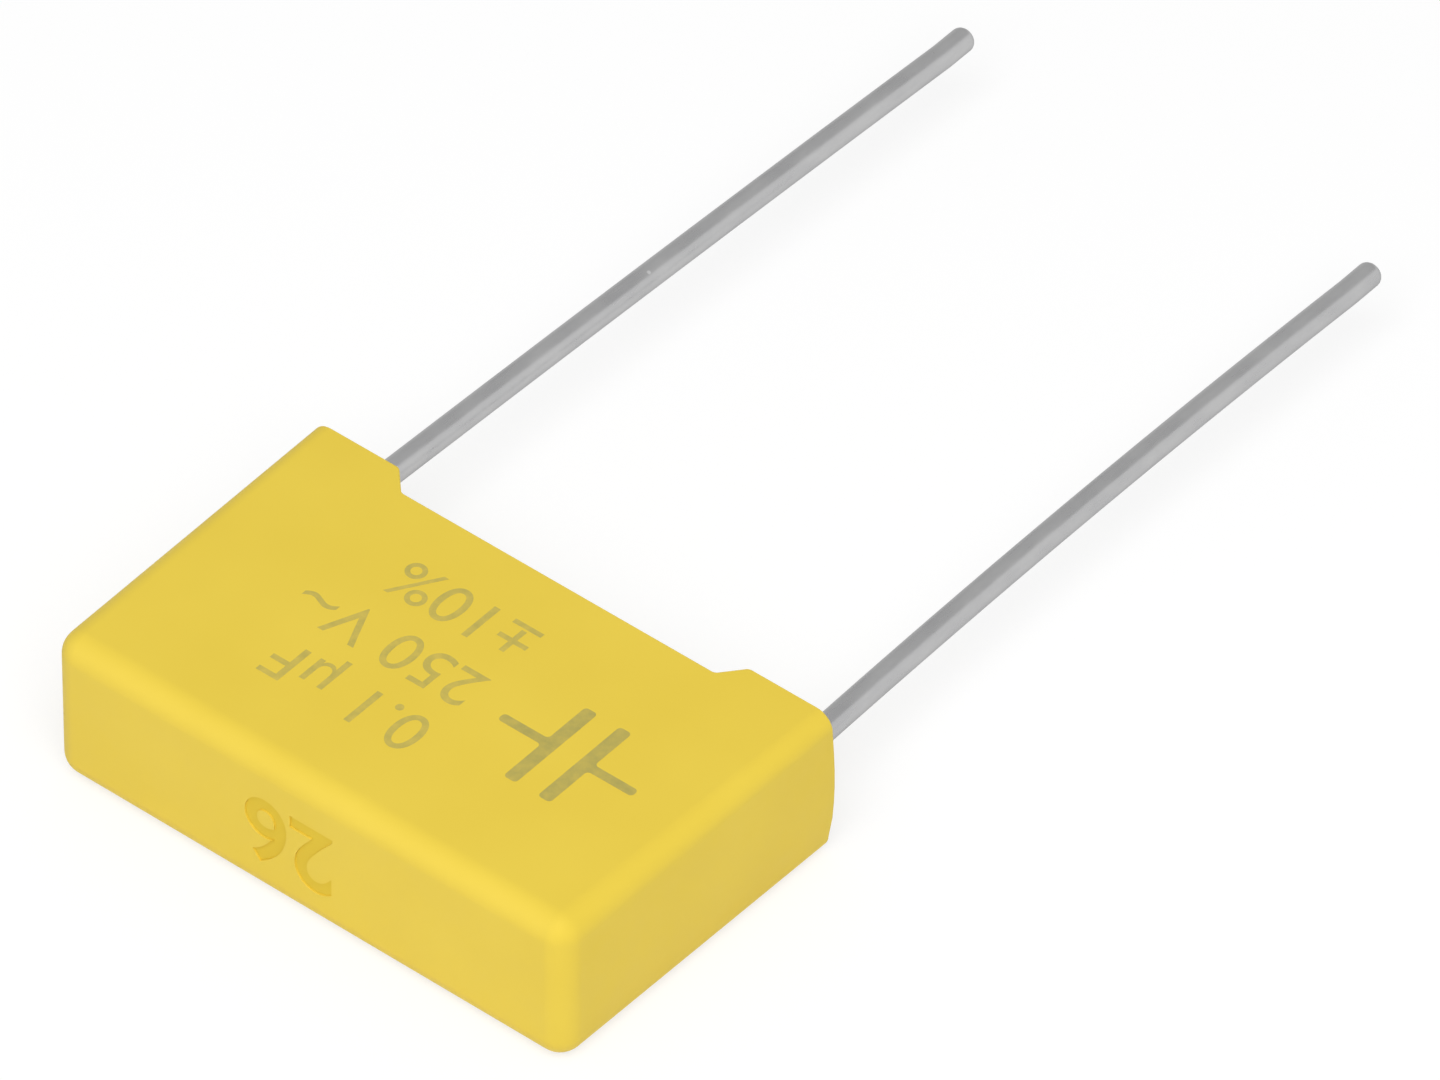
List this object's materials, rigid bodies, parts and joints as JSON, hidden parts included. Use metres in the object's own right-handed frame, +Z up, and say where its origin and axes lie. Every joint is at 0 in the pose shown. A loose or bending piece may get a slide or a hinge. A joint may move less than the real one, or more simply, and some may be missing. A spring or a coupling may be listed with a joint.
{
  "type": "boxed film capacitor",
  "caption": "Flat moulded-box film capacitor with rounded edges, a notched lead side on feet and long straight tinned leads for a circuit board.",
  "frame": {"origin": "centre of the broad side that the case rests on", "axes": "+X along the lead pitch, +Y along the leads away from the case, +Z up through the thickness of the case"},
  "size_m": [0.018, 0.037, 0.005],
  "materials": {
    "case_plastic": "satin moulded plastic",
    "casting_resin": "cast resin, glossy surface",
    "wound_film": "wound metallised film",
    "sprayed_metal": "grainy sprayed metal",
    "tinned_wire": "tinned, softly drawn"
  },
  "bodies": {
    "root": {"case": "case_plastic", "potting": "casting_resin", "film_winding": "wound_film", "left_end_spray": "sprayed_metal", "right_end_spray": "sprayed_metal", "left_lead": "tinned_wire", "right_lead": "tinned_wire"}
  },
  "joints": []
}
